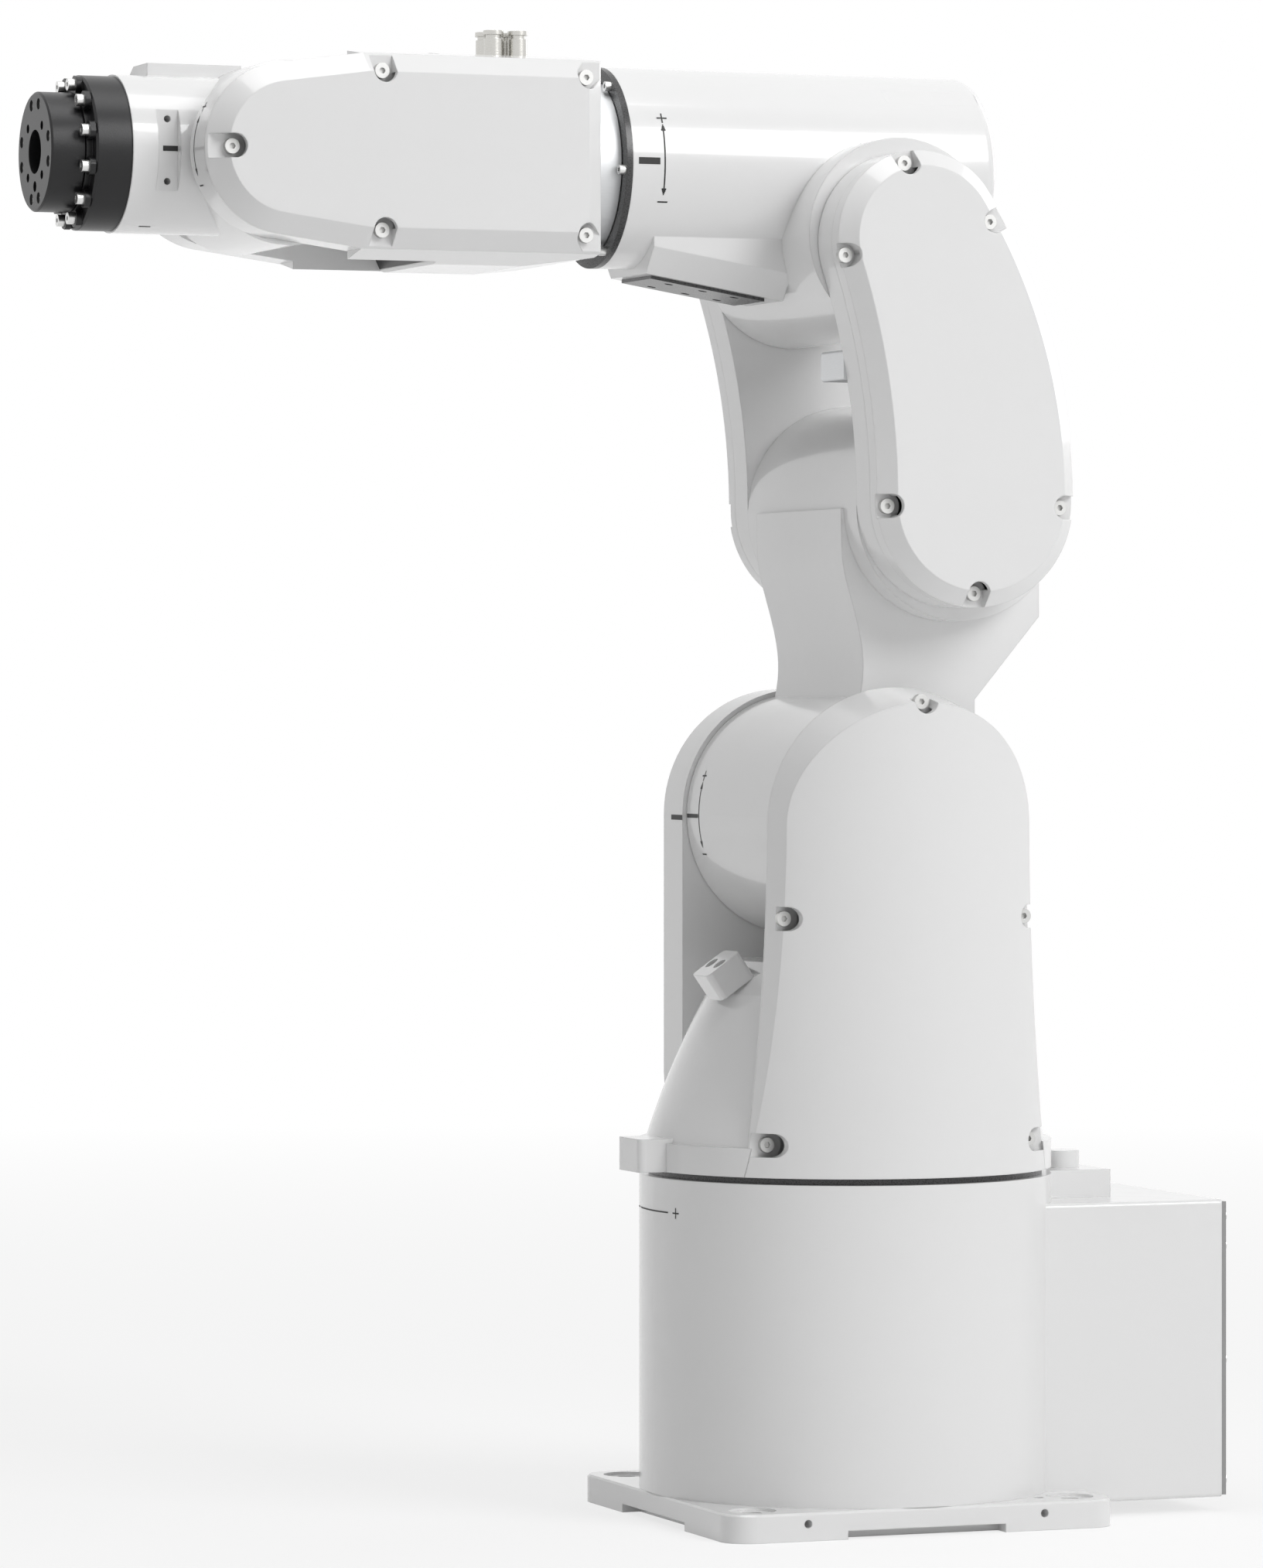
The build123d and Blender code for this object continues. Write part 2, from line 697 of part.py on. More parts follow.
def forearm_casting():
    h = forearm_half_h
    w = forearm_half_y
    top = roll_z + h
    low = roll_z - h
    pts = [(-w, low), (-34, low - forearm_belly), (34, low - forearm_belly), (w, low),
           (w, top), (30, top + forearm_crown), (-30, top + forearm_crown), (-w, top)]
    plane = Plane(origin=(forearm_rear_x, 0, 0), x_dir=(0, 1, 0), z_dir=(1, 0, 0))
    body = extrude(plane * make_face(Polyline(pts, close=True).edges()), amount=forearm_shoulder_x - forearm_rear_x)
    ramp = Polyline([(forearm_rear_x - 1, low - 20), (forearm_rear_x - 1, low - 1), (175, low - forearm_belly),
                     (forearm_shoulder_x + 1, low - forearm_belly), (forearm_shoulder_x + 1, low - 20)], close=True)
    body -= slab(make_face(ramp.edges()), -w - 1, w + 1)
    body += slab(nose_outline(), -w, w)
    body -= slab(throat(), -fork_half_y, fork_half_y)
    body -= disc_y(wrist_x, roll_z, 26.0, fork_half_y - 1, w + 1)
    body -= flip(disc_y(wrist_x, roll_z, 18.0, fork_half_y - 1, w + 1))
    body -= disc_y(195, roll_z, 26.0, -10, w + 1)
    for x, y in fitting_places():
        body -= disc_z(x, y, 3.0, top - 8, top + 10)
    body -= throat_cover()
    return body


def fitting_places():
    return [(179, 5), (167, 5), (179, -6), (167, -6)]


def air_fittings():
    top = roll_z + forearm_half_h + forearm_crown
    parts = []
    for x, y in fitting_places():
        body = disc_z(x, y, 3.0 - seat_gap, top - 6, top)
        body += disc_z(x, y, 4.4, top, top + 10)
        body += disc_z(x, y, 3.6, top + 10, top + 11.7)
        body += disc_z(x, y, 4.7, top + 11.7, top + 13.7)
        body -= disc_z(x, y, 2.0, top - 2, top + 15)
        parts.append(body)
    return group(parts)


def j4_output_flange():
    return disc_x(tube_front_x + run_gap, forearm_rear_x, rotor_r, roll_z)


def throat_cover():
    skin = offset(throat(), amount=1.6) - throat()
    keep = Pos(wrist_x - 62, roll_z) * Rectangle(60, 94)
    body = slab(skin & keep, -fork_half_y, fork_half_y)
    return body


def fore_screws():
    return [(325.0, 633.0, 0.0), (254.0, 669.0, 90.0), (254.0, 597.0, 270.0),
            (155.5, 669.0, 135.0), (155.5, 597.0, 225.0)]


def forearm_cover():
    y0 = forearm_half_y
    y1 = y0 + fore_cover_h
    body = slab(nose_outline(), y0, y1)
    rim = body.faces().sort_by(Axis.Y)[-1].outer_wire().edges()
    body = chamfer(rim, fore_cover_bevel)
    body -= slab(nose_outline(9.0), y0, y1 - 3.0)
    for x, z, angle in fore_screws():
        body += disc_y(x, z, pocket_w / 2 + 1.5, y0, y0 + 3) & slab(nose_outline(), y0, y1)
        body -= edge_pocket(x, z, angle, y0 + 3, y1 + 5)
    return body


def forearm_cover_screws():
    parts = []
    for x, z, angle in fore_screws():
        head = screw_y(x, forearm_half_y + 3, z, cover_screw)
        parts += [head, flip(head)]
    return group(parts)


def j5_motor():
    return disc_y(195, roll_z, 26.0 - seat_gap, -10, forearm_half_y)


def j5_reducer():
    return disc_y(wrist_x, roll_z, 26.0 - seat_gap, 24, forearm_half_y)


def j5_bearing():
    return flip(disc_y(wrist_x, roll_z, 18.0 - seat_gap, 26, forearm_half_y))


# Wrist
def wrist_housing():
    body = disc_y(wrist_x, roll_z, wrist_hub_r, -wrist_hub_half, wrist_hub_half)
    body = chamfer(body.edges(), 1.0)
    body += disc_x(wrist_x, nose_front_x, nose_r, roll_z)
    brow = block(wrist_x + 10, 345, -nose_r, 0, roll_z, roll_z + 42)
    body += brow & disc_x(wrist_x, 345, 47.0, roll_z)
    body -= block(wrist_x + 50, nose_front_x - 12, 31, 60, roll_z - 18.4, roll_z + 18.4)
    for sz in (-1, 1):
        body -= disc_y(345, roll_z + sz * 14.1, 1.55, 22, 40)
    body -= disc_y(wrist_x, roll_z, 26.0 + run_gap - seat_gap, 16, 50)
    body -= flip(disc_y(wrist_x, roll_z, 18.0 + run_gap - seat_gap, 24, 50))
    body -= disc_x(j6_motor_x, nose_front_x + 1, j6_motor_r, roll_z)
    return body


def j5_output_flange():
    return disc_y(wrist_x, roll_z, 26.0 + run_gap - 2 * seat_gap, 16, 24 - run_gap)


def j6_motor():
    return disc_x(j6_motor_x, nose_front_x - 6, j6_motor_r - seat_gap, roll_z)


def j6_reducer_body():
    body = disc_x(nose_front_x, j6_body_x1, j6_body_r, roll_z)
    body = chamfer(body.edges().sort_by(Axis.X)[-1], 1.0)
    lobes = disc_x(j6_body_x1, lobe_ring_x1, 28.5, roll_z)
    for x, y, z in wrist_screw_places():
        lobes += disc_x(j6_body_x1, lobe_ring_x1, 4.2, z, y) & disc_x(j6_body_x1, lobe_ring_x1, j6_body_r, roll_z)
    body += lobes
    body += disc_x(nose_front_x - 6, nose_front_x, j6_motor_r - seat_gap, roll_z)
    body -= disc_x(lobe_ring_x1 - 8, lobe_ring_x1 + 1, 20.0 + run_gap, roll_z)
    return body


def wrist_screw_places():
    places = []
    for k in range(12):
        a = radians(15 + 30 * k)
        places.append((lobe_ring_x1, 31.3 * cos(a), roll_z + 31.3 * sin(a)))
    return places


def wrist_ring_screws():
    parts = [Pos(x, y, z) * Rot(0, 90, 0) * screw(ring_screw) for x, y, z in wrist_screw_places()]
    return group(parts)


def flange_screw_places():
    places = []
    for k in range(4):
        for d in (-15, 15):
            a = radians(90 * k + d)
            places.append((flange_screw_pcd / 2 * cos(a), roll_z + flange_screw_pcd / 2 * sin(a)))
    return places


def tool_flange():
    x0 = lobe_ring_x1 + run_gap
    body = disc_x(x0, flange_x, flange_r, roll_z)
    body = chamfer(body.edges().sort_by(Axis.X)[-1], 0.8)
    body += disc_x(lobe_ring_x1 - 7, x0, 20.0, roll_z)
    body -= disc_x(flange_x - 8, flange_x + 1, flange_bore_r, roll_z)
    for k in range(4):
        a = radians(45 + 90 * k)
        body -= disc_x(flange_x - 9, flange_x + 1, flange_tap_d / 2, roll_z + flange_pcd / 2 * sin(a), flange_pcd / 2 * cos(a))
    body -= disc_x(flange_x - 6, flange_x + 1, 2.5, roll_z - flange_pcd / 2)
    for y, z in flange_screw_places():
        body -= disc_x(flange_x - 4, flange_x + 1, 2.6, z, y)
    return body


def tool_flange_screws():
    parts = [Pos(flange_x - 4, y, z) * Rot(0, 90, 0) * screw((4.8, 3.0, 2.0)) for y, z in flange_screw_places()]
    return group(parts)


nodes = {
    "base_casting": base_casting,
    "base_rear_panel": base_rear_panel,
    "rear_panel_screws": rear_panel_screws,
    "power_connector": lambda: port_plug(rear_ports()[0], 12, 16.0, 2.0),
    "signal_connector": lambda: port_plug(rear_ports()[1], 12, 11.5, 2.0),
    "air_inlet_couplings": air_inlet_couplings,
    "base_seal_ring": base_seal_ring,
    "j1_motor": j1_motor,
    "j1_reducer": j1_reducer,
    "turret_casting": turret_casting,
    "turret_left_cover": turret_left_cover,
    "turret_right_cover": turret_right_cover,
    "turret_cover_screws": turret_cover_screws,
    "shoulder_stop_block": shoulder_stop_block,
    "shoulder_stop_screws": shoulder_stop_screws,
    "j1_output_flange": j1_output_flange,
    "j2_motor": j2_motor,
    "j2_reducer": j2_reducer,
    "j2_bearing": j2_bearing,
    "upper_arm_casting": upper_arm_casting,
    "upper_arm_left_cover": upper_arm_cover,
    "upper_arm_right_cover": lambda: flip(upper_arm_cover()),
    "upper_arm_cover_screws": upper_arm_cover_screws,
    "elbow_stop_block": elbow_stop_block,
    "j2_output_flange": j2_output_flange,
    "j3_motor": j3_motor,
    "j3_reducer": j3_reducer,
    "j3_bearing": j3_bearing,
    "elbow_housing": elbow_housing,
    "elbow_rear_cap": elbow_rear_cap,
    "chin_plate": chin_plate,
    "j3_output_flange": j3_output_flange,
    "j4_ring": j4_ring,
    "j4_ring_screws": j4_ring_screws,
    "j4_motor": j4_motor,
    "j4_reducer": j4_reducer,
    "forearm_casting": forearm_casting,
    "forearm_left_cover": forearm_cover,
    "forearm_right_cover": lambda: flip(forearm_cover()),
    "forearm_cover_screws": forearm_cover_screws,
    "air_fittings": air_fittings,
    "throat_cover": throat_cover,
    "j4_output_flange": j4_output_flange,
    "j5_motor": j5_motor,
    "j5_reducer": j5_reducer,
    "j5_bearing": j5_bearing,
    "wrist_housing": wrist_housing,
    "j5_output_flange": j5_output_flange,
    "j6_motor": j6_motor,
    "j6_reducer_body": j6_reducer_body,
    "wrist_ring_screws": wrist_ring_screws,
    "tool_flange": tool_flange,
    "tool_flange_screws": tool_flange_screws,
}

os.makedirs("parts", exist_ok=True)
for name, make in nodes.items():
    export_step(make(), f"parts/{name}.step")
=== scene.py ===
import json
from math import cos, pi, radians, sin, sqrt
import bpy
import bmesh
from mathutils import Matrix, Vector


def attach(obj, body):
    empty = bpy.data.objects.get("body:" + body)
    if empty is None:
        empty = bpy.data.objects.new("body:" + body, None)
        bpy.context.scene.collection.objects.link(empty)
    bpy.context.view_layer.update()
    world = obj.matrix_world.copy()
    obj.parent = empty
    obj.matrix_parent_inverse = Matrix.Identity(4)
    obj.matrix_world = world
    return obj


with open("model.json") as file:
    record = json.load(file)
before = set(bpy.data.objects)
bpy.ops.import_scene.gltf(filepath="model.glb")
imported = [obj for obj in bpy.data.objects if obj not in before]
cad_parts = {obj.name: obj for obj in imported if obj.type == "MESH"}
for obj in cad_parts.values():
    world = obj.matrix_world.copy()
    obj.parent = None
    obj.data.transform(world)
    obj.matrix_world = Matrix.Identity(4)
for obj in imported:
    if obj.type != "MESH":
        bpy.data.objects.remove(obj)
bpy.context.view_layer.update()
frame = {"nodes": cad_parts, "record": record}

# Every length is in metres, every angle in radians unless radians() is called on it.

# Camera, at the photograph's place: it looks level, and the lens shift does the rest.
PHOTO_HEIGHT = 2027           # pixels, the longer side
FOCAL_PIXELS = 9007.31
SHIFT_PIXELS = -111.74
SENSOR_WIDTH = 36             # millimetres
CAMERA_TURN = radians(21.12)
CAMERA_DISTANCE = 3.29791
CAMERA_ASIDE = 0.10108
CAMERA_HEIGHT = 0.38591
CAMERA_REACH = 50

# Heights of the shoulder's axis and of the forearm's roll axis
SHOULDER_Z = 0.330
ROLL_Z = 0.633

# The surfaces that carry a printed mark
SHOULDER_DRUM_RADIUS = 0.058
TURRET_CHEEK_FRONT_X = 0.060
ELBOW_TUBE_RADIUS = 0.0469
FORK_NOSE_X = 0.298
FORK_NOSE_RADIUS = 0.0388
WRIST_SIDE_Y = 0.031
WRIST_NECK_RADIUS = 0.036
BASE_RADIUS = 0.0975

# The marks themselves
MARK_LIFT = 0.00012           # how far the ink stands proud
MARK_STEP = 0.004             # longest piece of a stroke on a round surface
LINE_WIDTH = 0.0007
SIGN_SIZE = 0.0050
HEAD_LENGTH = 0.0032
HEAD_ROWS = 4
HEAD_SLIMNESS = 0.7

# Floor and light
FLOOR_HALF_SIZE = 9.0
FLOOR_NEAR = 0.7              # the floor shows its shadows up to here
FLOOR_FAR = 3.0               # and is as white as the backdrop from here on
FLOOR_NEAR_WHITE = 0.72
FLOOR_FAR_WHITE = 1.0
AIR_STRENGTH = 0.28
BACKDROP_STRENGTH = 1.0
LIGHT_TARGET = (0, 0, 0.4)


def place_camera():
    data = bpy.data.cameras.new("camera")
    camera = bpy.data.objects.new("camera", data)
    bpy.context.scene.collection.objects.link(camera)
    camera.location = (
        CAMERA_DISTANCE * sin(CAMERA_TURN) + CAMERA_ASIDE * cos(CAMERA_TURN),
        CAMERA_DISTANCE * cos(CAMERA_TURN) - CAMERA_ASIDE * sin(CAMERA_TURN),
        CAMERA_HEIGHT,
    )
    camera.rotation_euler = (radians(90), 0, pi - CAMERA_TURN)
    data.sensor_fit = "AUTO"
    data.sensor_width = SENSOR_WIDTH
    data.lens = FOCAL_PIXELS * SENSOR_WIDTH / PHOTO_HEIGHT
    data.shift_x = 0.0
    data.shift_y = SHIFT_PIXELS / PHOTO_HEIGHT
    data.clip_end = CAMERA_REACH
    bpy.context.scene.camera = camera


place_camera()


# Shader maths
class Sock:
    """An output in a node tree, with arithmetic that adds Math nodes."""

    def __init__(self, nodes, value):
        self.nodes = nodes
        self.value = value

    def _math(self, operation, a, b):
        return self.nodes.node("ShaderNodeMath", {"operation": operation}, {0: a, 1: b})

    def __add__(self, other):
        return self._math("ADD", self, other)

    def __radd__(self, other):
        return self._math("ADD", other, self)

    def __mul__(self, other):
        return self._math("MULTIPLY", self, other)

    def __rmul__(self, other):
        return self._math("MULTIPLY", other, self)

    def or_else(self, other):
        """The larger of the two."""
        return self._math("MAXIMUM", self, other)


class Nodes:
    """The node tree of a material or of the world."""

    def __init__(self, tree, output_kind):
        self.tree = tree
        self.tree.nodes.clear()
        self.output = self.tree.nodes.new(output_kind)

    def feed(self, socket, value):
        if isinstance(value, Sock):
            value = value.value
        if isinstance(value, bpy.types.NodeSocket):
            self.tree.links.new(value, socket)
        elif isinstance(value, (tuple, list)) and len(value) == 3 and socket.type == "RGBA":
            socket.default_value = (*value, 1.0)
        else:
            socket.default_value = value

    def node(self, kind, settings=None, inputs=None, out=0):
        made = self.tree.nodes.new(kind)
        for key, value in (settings or {}).items():
            setattr(made, key, value)
        for key, value in (inputs or {}).items():
            self.feed(made.inputs[key], value)
        return Sock(self, made.outputs[out])

    def show(self, shader):
        self.feed(self.output.inputs["Surface"], shader)

    def seen_directly(self):
        """One for the camera and for what metal or glass shows, zero for the light on the object."""
        rays = self.node("ShaderNodeLightPath", out="Is Camera Ray")
        kinds = rays.value.node.outputs
        return rays.or_else(kinds["Is Glossy Ray"]).or_else(kinds["Is Transmission Ray"])

    def choose(self, factor, first, second):
        """The first shader where the factor is zero, and the second where it is one."""
        return self.node("ShaderNodeMixShader", {}, {0: factor, 1: first, 2: second})


class Paint(Nodes):
    """One material with its node tree."""

    def __init__(self, name):
        self.material = bpy.data.materials.new(name)
        self.material.use_nodes = True
        super().__init__(self.material.node_tree, "ShaderNodeOutputMaterial")

    def place(self):
        return self.node("ShaderNodeTexCoord", out="Object")

    def noise(self, scale, detail, vector=None):
        return self.node("ShaderNodeTexNoise", {}, {
            "Vector": vector or self.place(), "Scale": scale, "Detail": detail, "Roughness": 0.5})

    def mix(self, factor, a, b):
        """Colour a where the factor is zero, and b where it is one."""
        return self.node("ShaderNodeMix", {"data_type": "RGBA"}, {0: factor, 6: a, 7: b}, 2)

    def rounded(self, radius):
        """A normal that makes sharp edges look broken by this radius."""
        return self.node("ShaderNodeBevel", {"samples": 4}, {"Radius": radius})

    def bump(self, height, strength, distance, normal):
        return self.node("ShaderNodeBump", {}, {
            "Height": height, "Strength": strength, "Distance": distance, "Normal": normal})

    def finish(self, **inputs):
        named = {key.replace("_", " "): value for key, value in inputs.items()}
        self.show(self.node("ShaderNodeBsdfPrincipled", {}, named))
        return self.material


def shaded(colour, by):
    return tuple(c * by for c in colour)


def gloss_paint(name, colour, rough=0.2, peel=0.05, edge=0.0009):
    """Two-pack gloss paint: a faint orange peel, soft edges and a little drift in its tone."""
    p = Paint(name)
    drift = p.noise(scale=7.0, detail=3.0)
    base = p.mix(drift, shaded(colour, 0.965), colour)
    orange_peel = p.noise(scale=420.0, detail=1.0)
    haze = p.noise(scale=38.0, detail=2.0)
    return p.finish(
        Base_Color=base,
        Roughness=rough + haze * 0.07,
        Coat_Weight=0.6,
        Coat_Roughness=0.06,
        Normal=p.bump(orange_peel, strength=peel, distance=0.0002, normal=p.rounded(edge)),
        Specular_IOR_Level=0.5,
    )


def anodised(name, colour, rough):
    """Bead-blasted and anodised aluminium."""
    p = Paint(name)
    grain = p.noise(scale=1500.0, detail=2.0)
    cloud = p.noise(scale=40.0, detail=2.0)
    return p.finish(
        Base_Color=p.mix(cloud, shaded(colour, 0.75), shaded(colour, 1.2)),
        Roughness=rough + grain * 0.12,
        Metallic=0.25,
        Normal=p.bump(grain, strength=0.25, distance=0.0001, normal=p.rounded(0.0004)),
    )


def metal(name, colour, rough):
    """Bare or plated metal with fine turning or grinding marks."""
    p = Paint(name)
    drawn_out = p.node("ShaderNodeMapping", {"vector_type": "POINT"},
                       {"Vector": p.place(), "Scale": (1.0, 1.0, 14.0)})
    grain = p.noise(scale=300.0, detail=3.0, vector=drawn_out)
    return p.finish(
        Base_Color=p.mix(grain, shaded(colour, 0.86), colour),
        Roughness=rough + grain * 0.15,
        Metallic=1.0,
        Normal=p.bump(grain, strength=0.1, distance=0.0001, normal=p.rounded(0.0003)),
    )


def moulded(name, colour, rough, edge=0.0004):
    """Moulded plastic, a painted case or printing ink, with a fine grain."""
    p = Paint(name)
    grain = p.noise(scale=900.0, detail=2.0)
    cloud = p.noise(scale=30.0, detail=2.0)
    return p.finish(
        Base_Color=p.mix(cloud, shaded(colour, 0.85), colour),
        Roughness=rough + grain * 0.1,
        Normal=p.bump(grain, strength=0.3, distance=0.0001, normal=p.rounded(edge)),
    )


# One finish for each material slot of the record
finishes = {
    "white_paint": gloss_paint("white_gloss_paint", (0.84, 0.84, 0.84)),
    # The grey panel is a dark plate under the chin, where the white casting's underside only lies in
    # shade: painted shade.
    "grey_panel": gloss_paint("grey_panel_painted_shade", (0.30, 0.30, 0.30), rough=0.45, peel=0.15, edge=0.0003),
    "black_anodised": anodised("black_anodised", (0.012, 0.012, 0.013), rough=0.28),
    "dark_anodised": anodised("dark_ring", (0.055, 0.055, 0.056), rough=0.22),
    "screw_steel": metal("screw_steel", (0.80, 0.80, 0.79), rough=0.26),
    "nickel": metal("nickel_plate", (0.66, 0.65, 0.62), rough=0.18),
    "light_grey_metal": metal("light_machined_metal", (0.72, 0.73, 0.74), rough=0.42),
    "motor_black": moulded("motor_case", (0.03, 0.03, 0.03), rough=0.5),
    "drive_steel": metal("ground_steel", (0.55, 0.55, 0.56), rough=0.3),
}
cover_screw = metal("cover_screw_satin", (0.62, 0.62, 0.61), rough=0.38)
own_finish = {
    "turret_cover_screws": cover_screw,
    "upper_arm_cover_screws": cover_screw,
    "forearm_cover_screws": cover_screw,
}
ink = moulded("mark_ink", (0.02, 0.02, 0.02), rough=0.5, edge=0.0001)

slot_of = {row["node"]: row["material_slot"] for row in frame["record"]["subparts"]}
for name, piece in frame["nodes"].items():
    coat = own_finish.get(name, finishes[slot_of[name]])
    for slot in piece.material_slots:
        slot.link = "OBJECT"
        slot.material = coat


def mesh_object(name, faces, coat):
    """An object from lists of corner points, one list for each face."""
    bm = bmesh.new()
    for corners in faces:
        bm.faces.new([bm.verts.new(corner) for corner in corners])
    mesh = bpy.data.meshes.new(name)
    bm.to_mesh(mesh)
    bm.free()
    made = bpy.data.objects.new(name, mesh)
    bpy.context.scene.collection.objects.link(made)
    mesh.materials.append(coat)
    return made


# Surfaces that carry marks. Each gives the point at a and b on the unrolled surface, lifted off it.
def drum_surface(centre_x, centre_z, radius):
    """A barrel that lies along Y: a is the arc length up from its front, b is the place along Y."""
    def place(a, b, lift):
        t = a / radius
        return (centre_x + (radius + lift) * cos(t), b, centre_z + (radius + lift) * sin(t))
    return place


def tube_surface(centre_z, radius):
    """A tube that lies along X: a is the place along X, b the arc length up from its left side."""
    def place(a, b, lift):
        t = b / radius
        return (a, (radius + lift) * cos(t), centre_z + (radius + lift) * sin(t))
    return place


def upright_surface(radius):
    """An upright barrel: a is the arc length from the front towards the left, b is the height."""
    def place(a, b, lift):
        t = a / radius
        return ((radius + lift) * cos(t), (radius + lift) * sin(t), b)
    return place


def front_face(x):
    """A flat face that looks along +X: a is the height, b is the place along Y."""
    return lambda a, b, lift: (x + lift, b, a)


def left_face(y):
    """A flat face that looks along +Y: a is the place along X, b is the height."""
    return lambda a, b, lift: (a, y + lift, b)


def print_strokes(name, strokes, surface, body):
    """Print strokes, each (a0, b0, a1, b1, width) on the unrolled surface, as one piece."""
    faces = []
    for a0, b0, a1, b1, width in strokes:
        run = sqrt((a1 - a0) ** 2 + (b1 - b0) ** 2)
        steps = max(1, int(run / MARK_STEP))
        across_a = -(b1 - b0) / run * width / 2
        across_b = (a1 - a0) / run * width / 2
        for step in range(steps):
            start = step / steps
            end = (step + 1) / steps
            corners = []
            for t, side in ((start, -1), (end, -1), (end, 1), (start, 1)):
                a = a0 + (a1 - a0) * t + across_a * side
                b = b0 + (b1 - b0) * t + across_b * side
                corners.append(surface(a, b, MARK_LIFT))
            faces.append(corners)
    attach(mesh_object(name, faces, ink), body)


def arrow_head(a, b, way):
    """A small triangle in rows that get narrower, pointing to larger a for a way of 1 and back for -1."""
    rows = []
    for row in range(HEAD_ROWS):
        width = HEAD_LENGTH * HEAD_SLIMNESS * (1 - row / HEAD_ROWS)
        rows.append((a + way * HEAD_LENGTH * row / HEAD_ROWS, b,
                     a + way * HEAD_LENGTH * (row + 1) / HEAD_ROWS, b, width))
    return rows


def plus_sign(a, b):
    half = SIGN_SIZE / 2
    return [(a - half, b, a + half, b, LINE_WIDTH), (a, b - half, a, b + half, LINE_WIDTH)]


def travel_mark(name, surface, body, a, b, half, sign_gap, along_b=False):
    """A double arrow along a, with a plus past one end and a minus past the other."""
    minus_a = a - half - sign_gap
    strokes = [(a - half, b, a + half, b, LINE_WIDTH)]
    strokes += arrow_head(a + half, b, 1)
    strokes += arrow_head(a - half, b, -1)
    strokes += plus_sign(a + half + sign_gap, b)
    strokes.append((minus_a, b - SIGN_SIZE / 2, minus_a, b + SIGN_SIZE / 2, LINE_WIDTH))
    if along_b:
        strokes = [(b0, a0, b1, a1, width) for a0, b0, a1, b1, width in strokes]
    print_strokes(name, strokes, surface, body)


def zero_mark(name, surface, body, start, end, width):
    """A short bar from start to end, each (a, b)."""
    print_strokes(name, [(*start, *end, width)], surface, body)


shoulder_drum = drum_surface(0, SHOULDER_Z, SHOULDER_DRUM_RADIUS)
elbow_tube = tube_surface(ROLL_Z, ELBOW_TUBE_RADIUS)

travel_mark("shoulder_arrow", shoulder_drum, "upper_arm",
            a=0.0, b=-0.0415, half=0.0125, sign_gap=0.0065)
zero_mark("shoulder_zero", shoulder_drum, "upper_arm",
          start=(-0.0005, -0.0425), end=(-0.0005, -0.0565), width=0.0019)
zero_mark("shoulder_zero_cheek", front_face(TURRET_CHEEK_FRONT_X), "turret",
          start=(SHOULDER_Z - 0.0014, -0.0578), end=(SHOULDER_Z - 0.0014, -0.0720), width=0.0024)
travel_mark("roll_arrow", elbow_tube, "elbow",
            a=0.0013, b=0.1098, half=0.0135, sign_gap=0.0065, along_b=True)
zero_mark("roll_zero", elbow_tube, "elbow",
          start=(0.1122, 0.0004), end=(0.1228, 0.0004), width=0.0031)
travel_mark("wrist_arrow", drum_surface(FORK_NOSE_X, ROLL_Z, FORK_NOSE_RADIUS), "forearm",
            a=0.0013, b=0.0450, half=0.0105, sign_gap=0.0080)
zero_mark("wrist_zero", left_face(WRIST_SIDE_Y), "wrist",
          start=(0.3345, ROLL_Z + 0.0008), end=(0.3470, ROLL_Z + 0.0008), width=0.0024)
zero_mark("flange_zero", tube_surface(ROLL_Z, WRIST_NECK_RADIUS), "wrist",
          start=(0.3475, -0.0430), end=(0.3530, -0.0430), width=0.0008)

# The base's mark is a plain line with its two signs, below the seam of the turret.
BASE_MARK_Z = 0.1458
base_strokes = [(-0.022, BASE_MARK_Z, 0.016, BASE_MARK_Z, LINE_WIDTH)]
base_strokes += plus_sign(0.0225, BASE_MARK_Z)
base_strokes.append((-0.0315, BASE_MARK_Z, -0.0265, BASE_MARK_Z, LINE_WIDTH))
print_strokes("base_mark", base_strokes, upright_surface(BASE_RADIUS), "base")


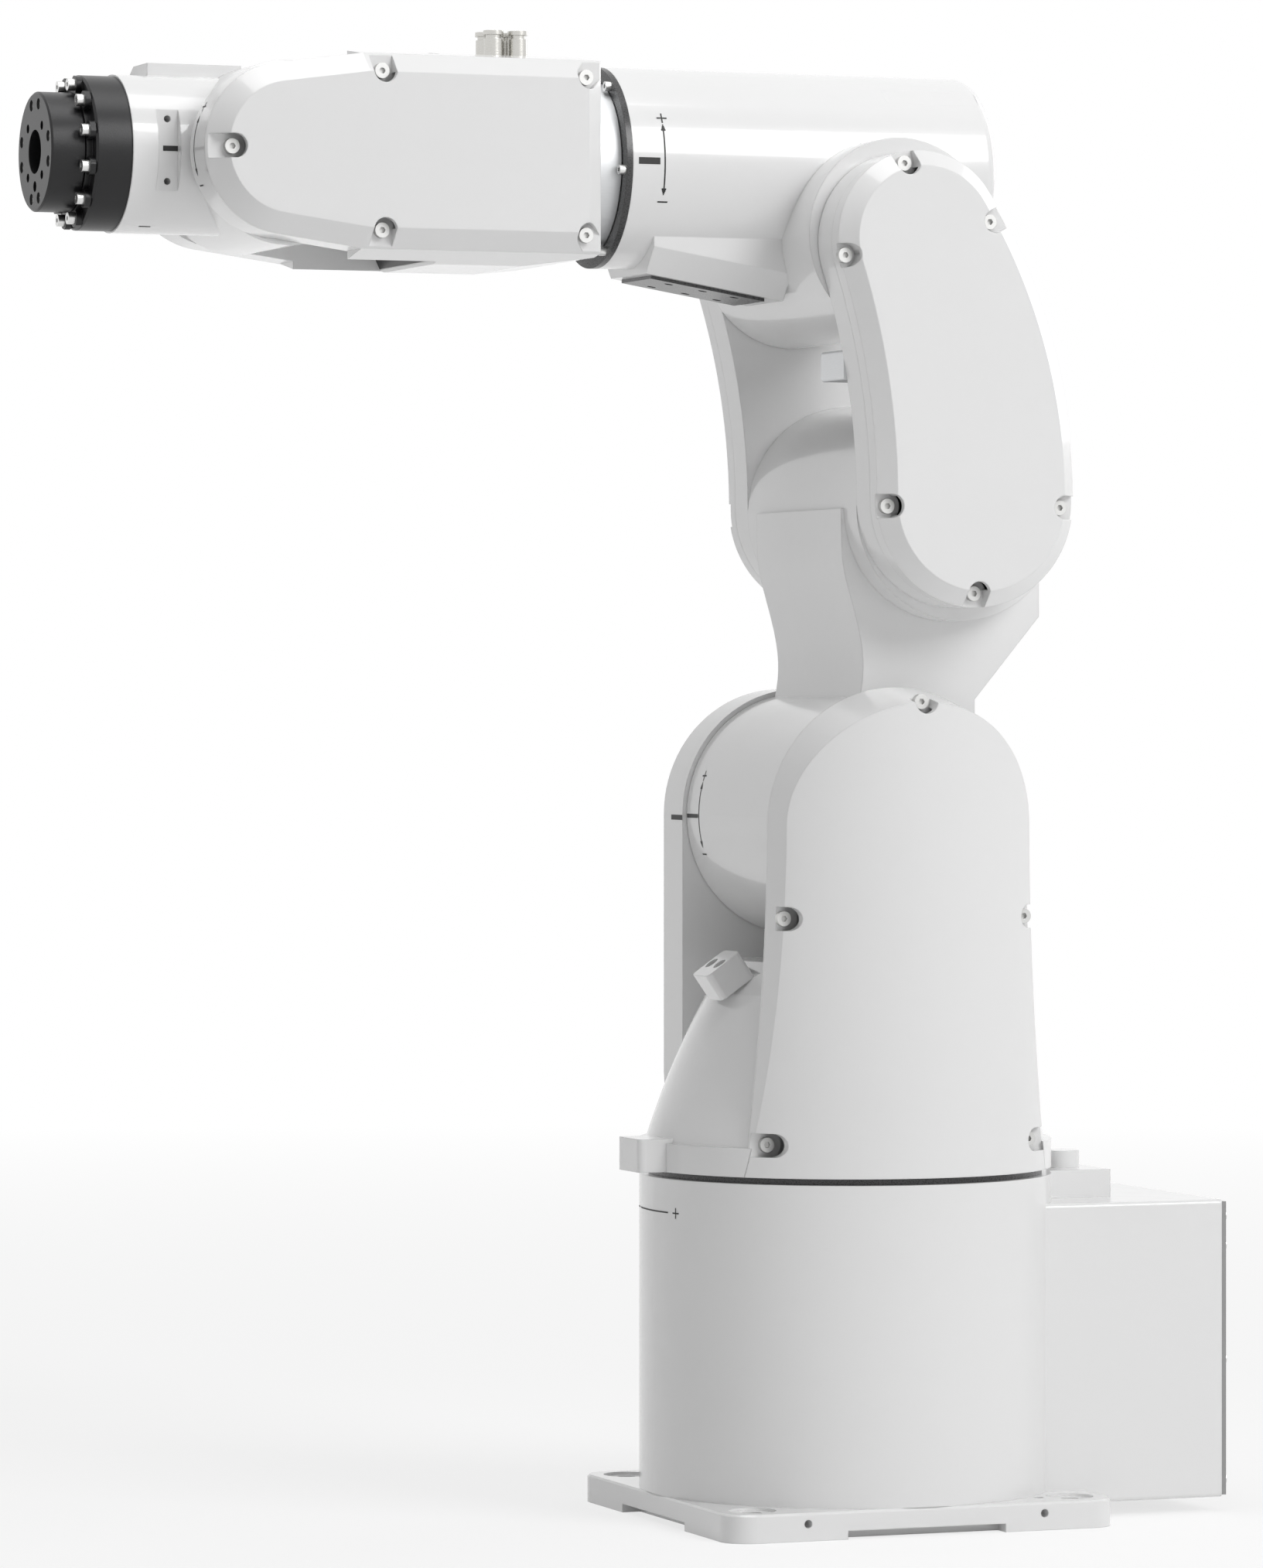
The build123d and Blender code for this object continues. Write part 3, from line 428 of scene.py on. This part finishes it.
def lay_floor():
    """White paper: near the object it keeps the shadow, and far away it is as white as the backdrop."""
    p = Paint("floor_paper")
    paper = p.node("ShaderNodeBsdfDiffuse", {}, {"Color": (0.93, 0.93, 0.93)})
    glow = p.node("ShaderNodeEmission", {}, {"Color": (1.0, 1.0, 1.0), "Strength": 1.0})
    away = p.node("ShaderNodeVectorMath", {"operation": "LENGTH"}, {0: p.place()}, "Value")
    white_share = p.node("ShaderNodeMapRange", {"clamp": True}, {
        "Value": away, "From Min": FLOOR_NEAR, "From Max": FLOOR_FAR,
        "To Min": FLOOR_NEAR_WHITE, "To Max": FLOOR_FAR_WHITE})
    p.show(p.choose(p.seen_directly() * white_share, paper, glow))
    far = FLOOR_HALF_SIZE
    corners = [(-far, -far, 0), (far, -far, 0), (far, far, 0), (-far, far, 0)]
    mesh_object("floor", [corners], p.material)


def light_the_air():
    """A dim even light on the object, in front of a white backdrop."""
    world = bpy.data.worlds.new("studio")
    bpy.context.scene.world = world
    world.use_nodes = True
    studio = Nodes(world.node_tree, "ShaderNodeOutputWorld")
    air, backdrop = (
        studio.node("ShaderNodeBackground", {}, {"Color": (1.0, 1.0, 1.0), "Strength": strength})
        for strength in (AIR_STRENGTH, BACKDROP_STRENGTH))
    studio.show(studio.choose(studio.seen_directly(), air, backdrop))


def softbox(name, at, width, height, watts):
    """A rectangular lamp that looks at the middle of the object."""
    data = bpy.data.lights.new(name, "AREA")
    data.shape = "RECTANGLE"
    data.size = width
    data.size_y = height
    data.energy = watts
    lamp = bpy.data.objects.new(name, data)
    bpy.context.scene.collection.objects.link(lamp)
    lamp.location = at
    aim = Vector(LIGHT_TARGET) - Vector(at)
    lamp.rotation_euler = aim.to_track_quat("-Z", "Y").to_euler()


lay_floor()
light_the_air()
softbox("key", at=(-1.4, 2.6, 2.2), width=1.6, height=1.6, watts=56)
softbox("top", at=(0.3, 0.2, 2.8), width=2.0, height=1.4, watts=24)
softbox("rim", at=(-2.4, -1.2, 1.6), width=0.8, height=1.8, watts=8)

bpy.context.scene.view_settings.view_transform = "Standard"
